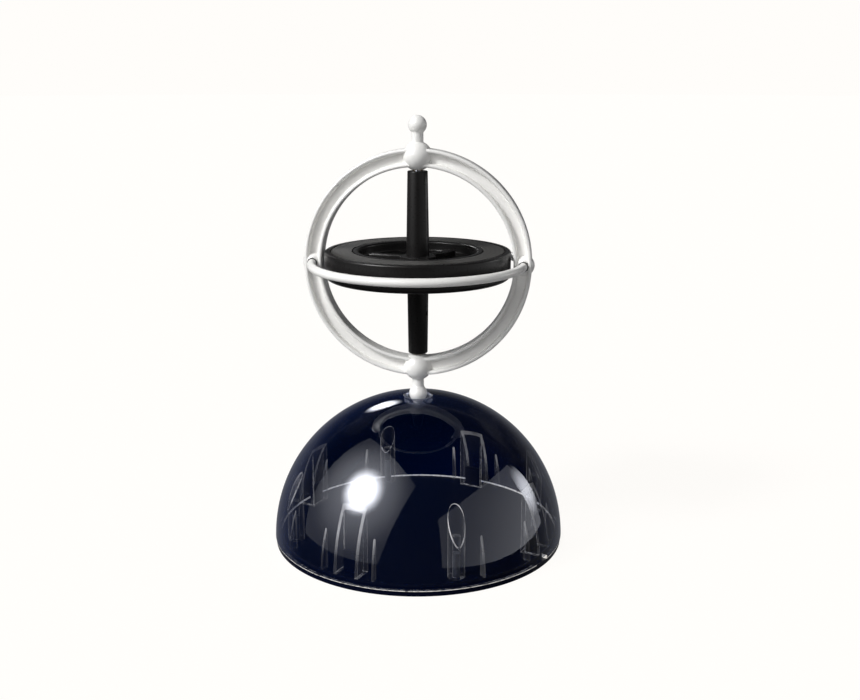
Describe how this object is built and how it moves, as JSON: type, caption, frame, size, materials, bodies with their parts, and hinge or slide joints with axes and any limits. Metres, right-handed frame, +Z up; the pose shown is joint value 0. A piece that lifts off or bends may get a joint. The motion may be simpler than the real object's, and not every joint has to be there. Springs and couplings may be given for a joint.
{
  "type": "toy gyroscope on stand",
  "caption": "Toy gyroscope: a spoked black rotor spins in a white ring frame with an equator hoop, and its ball foot balances in a socket on a tinted domed stand.",
  "frame": {"origin": "centre of the stand's underside, on the surface that it rests on", "axes": "+Z up along the spindle at rest, the upright ring lies in the XZ plane, -Y is the front"},
  "size_m": [0.1004, 0.1004, 0.145],
  "materials": {
    "smoke_dome": "transparent smoke-blue moulded acrylic, polished",
    "clear_cup": "clear moulded acrylic",
    "navy_plastic": "dark navy moulded",
    "white_plastic": "glossy white moulded",
    "black_plastic": "black moulded, satin gloss",
    "blackened_steel": "blackened, satin",
    "plated_steel": "zinc plated",
    "bearing_brass": "turned"
  },
  "bodies": {
    "stand": {"dome_shell": "smoke_dome", "socket_cup": "clear_cup", "base_plate": "navy_plastic", "base_screws": "plated_steel"},
    "ball": {"pivot_ball": "white_plastic"},
    "frame": {"gimbal_frame": "white_plastic", "front_hoop": "white_plastic", "rear_hoop": "white_plastic", "upper_finial": "white_plastic", "lower_neck": "white_plastic", "upper_bearing": "bearing_brass", "lower_bearing": "bearing_brass"},
    "rotor": {"rotor_disc": "black_plastic", "rim_weight": "blackened_steel", "upper_spindle": "black_plastic", "lower_spindle": "black_plastic", "upper_axle_pin": "plated_steel", "lower_axle_pin": "plated_steel"}
  },
  "joints": [
    {"name": "precession", "type": "hinge", "parent": "stand", "child": "ball", "pos_m": [0, 0, 0.0514], "axis": [0, 0, 1], "continuous": true},
    {"name": "lean", "type": "hinge", "parent": "ball", "child": "frame", "pos_m": [0, 0, 0.0514], "axis": [0, 1, 0], "range_deg": [-40, 40]},
    {"name": "rotor_spin", "type": "hinge", "parent": "frame", "child": "rotor", "pos_m": [0, 0, 0.0965], "axis": [0, 0, 1], "continuous": true}
  ]
}
